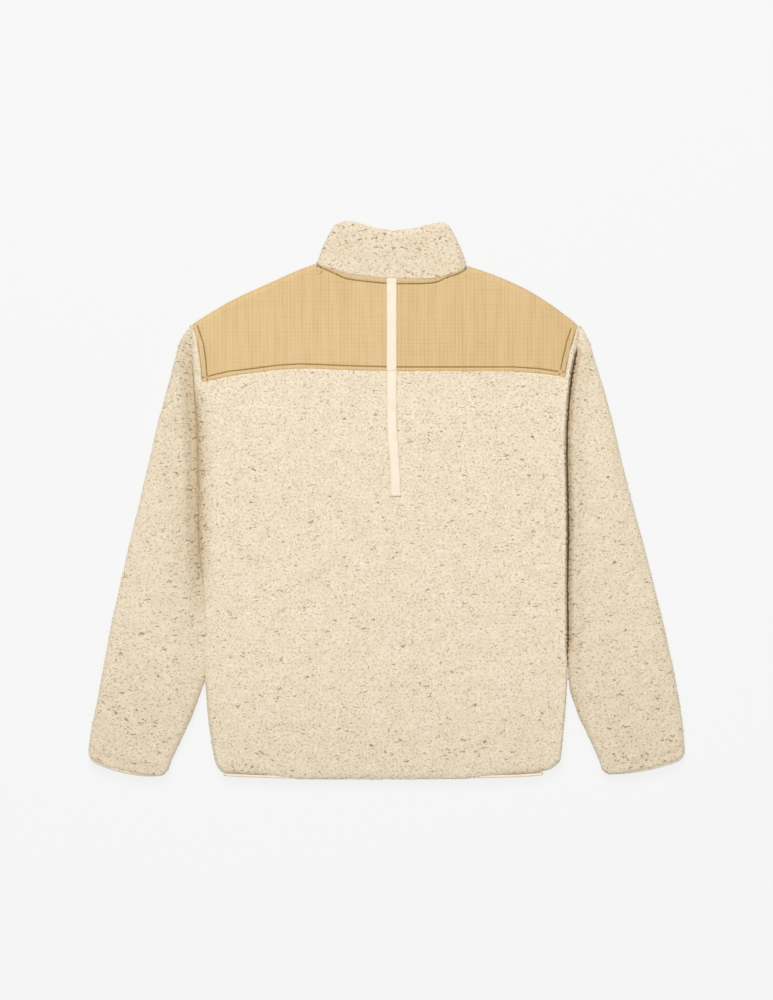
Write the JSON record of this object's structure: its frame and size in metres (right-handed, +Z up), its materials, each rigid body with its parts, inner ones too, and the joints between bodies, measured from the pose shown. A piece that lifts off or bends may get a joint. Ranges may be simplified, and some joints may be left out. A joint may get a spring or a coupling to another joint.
{
  "type": "sherpa zip jacket, laid out flat",
  "caption": "Long-sleeved sherpa jacket with a stand collar, ripstop back yoke and front zip, lying flat with its back up and zipped closed.",
  "frame": {"origin": "middle of the outline, on the surface that the jacket lies on", "axes": "+Z up, out of the jacket's back; +Y from the hem to the collar; +X to the wearer's right"},
  "size_m": [0.8134, 0.7598, 0.0221],
  "materials": {
    "sherpa": "curly pile, matt",
    "ripstop": "fine ripstop weave, slight sheen",
    "tape": "woven tape, matt",
    "binding": "folded binding, matt",
    "zip_tape": "herringbone zip tape, matt",
    "zip_metal": "satin nickel"
  },
  "bodies": {
    "jacket": {"back_body": "sherpa", "back_yoke": "ripstop", "back_tape": "tape", "front_left": "sherpa", "front_right": "sherpa", "sleeve_left": "sherpa", "sleeve_right": "sherpa", "collar": "sherpa", "hem_binding": "binding", "cuff_binding_left": "binding", "cuff_binding_right": "binding", "zip_tape_left": "zip_tape", "zip_tape_right": "zip_tape", "zip_slider": "zip_metal"},
    "pull_tab": {"zip_pull": "zip_metal"}
  },
  "joints": [
    {"name": "pull_tab_hinge", "type": "hinge", "parent": "jacket", "child": "pull_tab", "pos_m": [0.00744, 0.29635, 0.00285], "axis": [1, 0, 0], "range_deg": [0, 170]}
  ]
}
